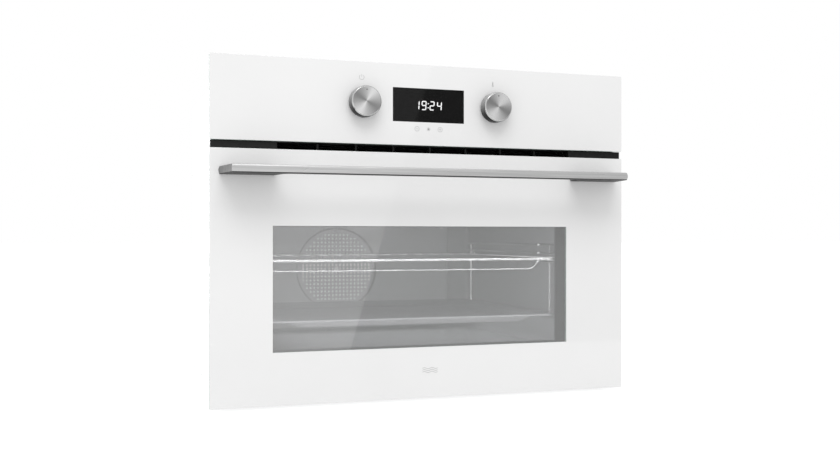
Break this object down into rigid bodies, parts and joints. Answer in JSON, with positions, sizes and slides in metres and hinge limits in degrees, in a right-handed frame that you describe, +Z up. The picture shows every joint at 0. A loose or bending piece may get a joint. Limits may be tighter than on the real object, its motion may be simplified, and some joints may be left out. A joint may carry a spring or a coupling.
{
  "type": "built-in wall oven",
  "caption": "Compact built-in wall oven with a drop-down glass door, bar handle, two dials, clock window, wire shelf, baking tray and fan-heated cavity.",
  "frame": {"origin": "centre of the footprint, on the plane that the casing stands on", "axes": "+X to the user's right, front of the oven towards -Y, +Z up"},
  "size_m": [0.595, 0.601, 0.4585],
  "materials": {
    "white_glass": "white back-printed glass, glossy face, with a tinted clear window in the door",
    "clear_glass": "clear heat-reflecting door pane",
    "zinc_sheet": "galvanised sheet, satin with faint spangle",
    "steel": "plain satin steel",
    "chrome_wire": "chromed wire",
    "enamel": "dark grey vitreous enamel with fine pale specks",
    "black_plastic": "moulded matt black plastic",
    "knob_metal": "spun aluminium face with polished edge",
    "handle_metal": "fine brushed aluminium",
    "silicone": "dark grey silicone",
    "mineral_wool": "pale mineral wool mat",
    "circuit_board": "green lacquered board with parts",
    "heater_steel": "heat-darkened steel tube",
    "lamp_glass": "ribbed clear lamp glass"
  },
  "bodies": {
    "chassis": {"base_plate": "zinc_sheet", "side_panel_left": "zinc_sheet", "side_panel_right": "zinc_sheet", "rear_panel": "zinc_sheet", "top_cover": "zinc_sheet", "rear_cover": "zinc_sheet", "front_frame": "zinc_sheet", "side_trim_left": "zinc_sheet", "side_trim_right": "zinc_sheet", "vent_trim": "black_plastic", "control_panel_glass": "white_glass", "panel_carrier": "black_plastic", "display_module": "circuit_board", "function_selector": "black_plastic", "temperature_selector": "black_plastic", "power_board": "circuit_board", "terminal_box": "black_plastic", "air_duct": "zinc_sheet", "blower_housing": "zinc_sheet", "blower_motor": "steel", "cavity": "enamel", "door_gasket": "silicone", "insulation": "mineral_wool", "fan_cover": "enamel", "fan_motor": "steel", "ring_element": "heater_steel", "grill_element": "heater_steel", "bottom_element": "heater_steel", "lamp_holder": "steel", "lamp_lens": "lamp_glass", "temperature_probe": "steel", "side_rack_left": "chrome_wire", "side_rack_right": "chrome_wire", "hinge_body_left": "steel", "hinge_body_right": "steel", "hinge_pin_left": "steel", "hinge_pin_right": "steel", "hinge_spring_left": "steel", "hinge_spring_right": "steel"},
    "door": {"door_outer_glass": "white_glass", "door_middle_glass": "clear_glass", "door_inner_glass": "clear_glass", "door_side_profile_left": "steel", "door_side_profile_right": "steel", "door_top_profile": "steel", "door_bottom_profile": "steel", "door_handle": "handle_metal", "handle_screw_left": "steel", "handle_screw_right": "steel", "hinge_arm_left": "steel", "hinge_arm_right": "steel"},
    "function_dial": {"function_knob": "knob_metal", "function_knob_shaft": "steel"},
    "temperature_dial": {"temperature_knob": "knob_metal", "temperature_knob_shaft": "steel"},
    "fan_rotor": {"convection_fan": "steel", "fan_shaft": "steel"},
    "blower_rotor": {"blower_impeller": "zinc_sheet"},
    "shelf": {"wire_shelf": "chrome_wire"},
    "tray": {"baking_tray": "enamel"}
  },
  "joints": [
    {"name": "door_hinge", "type": "hinge", "parent": "chassis", "child": "door", "pos_m": [0, -0.2325, 0.0155], "axis": [1, 0, 0], "range_deg": [0, 90], "stiffness_Nm_per_rad": 4, "springref_deg": -17.19},
    {"name": "function_turn", "type": "hinge", "parent": "chassis", "child": "function_dial", "pos_m": [-0.0945, -0.2475, 0.4035], "axis": [0, 1, 0], "continuous": true},
    {"name": "temperature_turn", "type": "hinge", "parent": "chassis", "child": "temperature_dial", "pos_m": [0.0945, -0.2475, 0.4035], "axis": [0, 1, 0], "continuous": true},
    {"name": "fan_spin", "type": "hinge", "parent": "chassis", "child": "fan_rotor", "pos_m": [-0.0225, 0.2015, 0.1665], "axis": [0, 1, 0], "continuous": true},
    {"name": "blower_spin", "type": "hinge", "parent": "chassis", "child": "blower_rotor", "pos_m": [0, 0.0445, 0.362], "axis": [1, 0, 0], "continuous": true},
    {"name": "shelf_slide", "type": "slide", "parent": "chassis", "child": "shelf", "axis": [0, -1, 0], "range_m": [-0.008, 0.009]},
    {"name": "tray_slide", "type": "slide", "parent": "chassis", "child": "tray", "axis": [0, -1, 0], "range_m": [-0.005, 0.011]}
  ]
}
